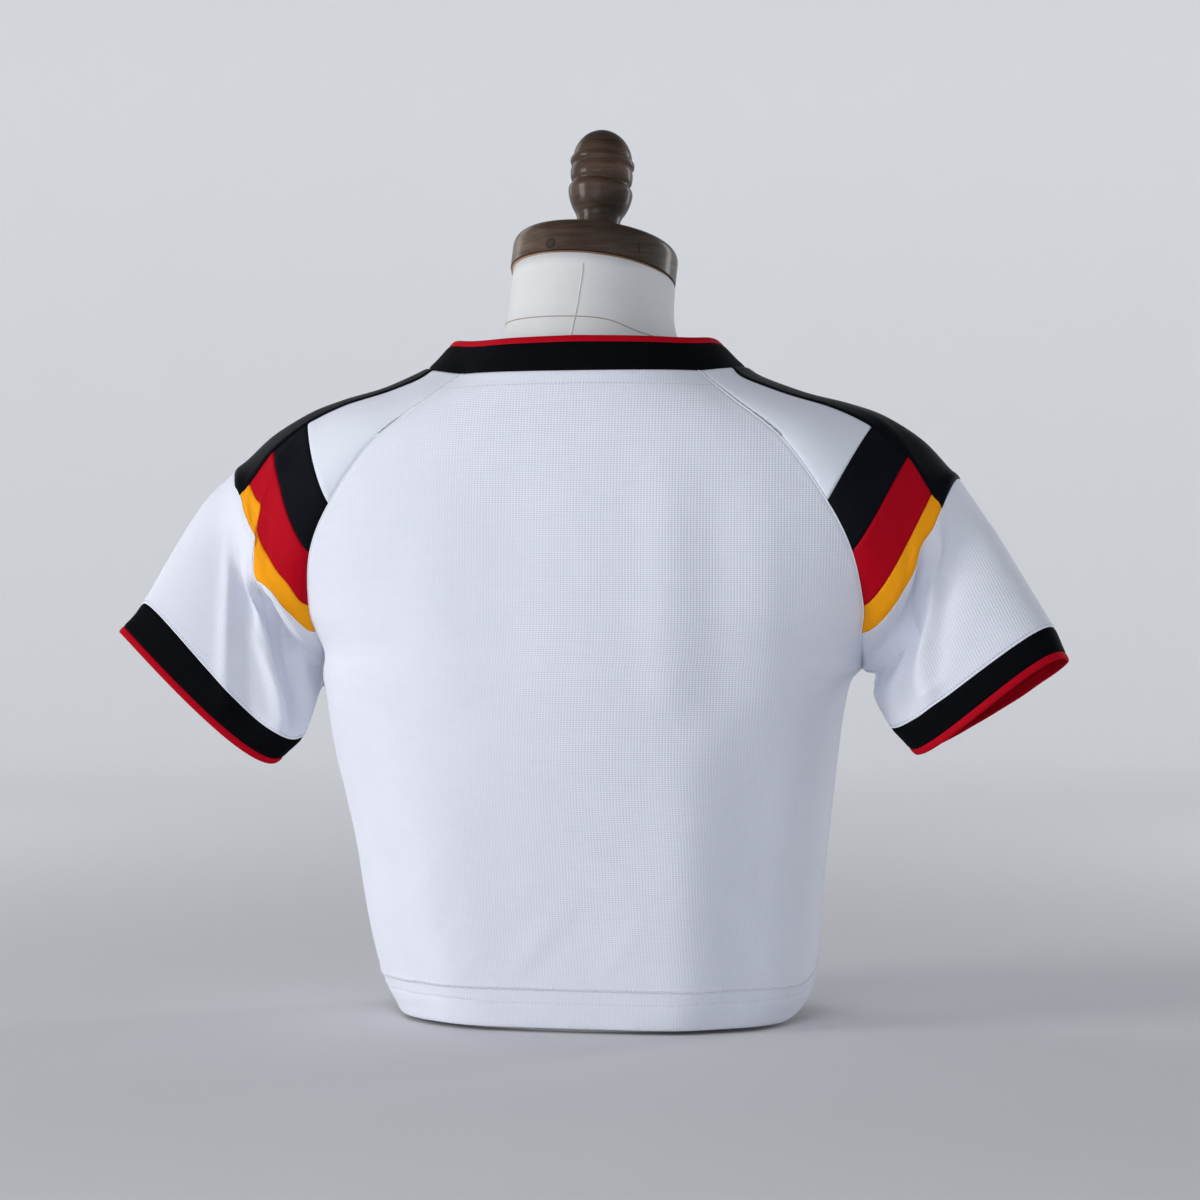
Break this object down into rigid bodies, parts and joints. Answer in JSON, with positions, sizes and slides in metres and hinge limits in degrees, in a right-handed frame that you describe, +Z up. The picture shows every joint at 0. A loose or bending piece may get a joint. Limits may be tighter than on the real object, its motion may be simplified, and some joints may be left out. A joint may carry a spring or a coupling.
{
  "type": "football crop top on a limbless dress form",
  "caption": "White raglan crop top with black collar and cuffs, red edging and black, red and gold shoulder bands, worn on a limbless dress form with a wooden cap.",
  "frame": {"origin": "middle of the flat base of the dress form, under the neck", "axes": "+Z up, -Y the garment's back, +Y its front, +X the wearer's right sleeve"},
  "size_m": [0.6747, 0.2427, 0.634],
  "materials": {
    "cloth_white": "white polyester knit with a fine mesh rib",
    "cloth_black": "black polyester knit with a soft sheen",
    "cloth_red": "red polyester knit",
    "cloth_gold": "gold yellow polyester knit",
    "form_linen": "smooth off-white linen cover",
    "form_wood": "dark varnished wood, slightly glossy"
  },
  "bodies": {
    "root": {"back": "cloth_white", "front": "cloth_white", "sleeve_top_r": "cloth_white", "sleeve_top_l": "cloth_white", "sleeve_low_r": "cloth_white", "sleeve_low_l": "cloth_white", "band_black_r": "cloth_black", "band_black_l": "cloth_black", "band_red_r": "cloth_red", "band_red_l": "cloth_red", "band_gold_r": "cloth_gold", "band_gold_l": "cloth_gold", "shoulder_r": "cloth_black", "shoulder_l": "cloth_black", "cuff_r": "cloth_black", "cuff_l": "cloth_black", "cuff_tip_r": "cloth_red", "cuff_tip_l": "cloth_red", "collar": "cloth_black", "collar_tip": "cloth_red", "form_body": "form_linen", "form_cap": "form_wood", "form_finial": "form_wood"}
  },
  "joints": []
}
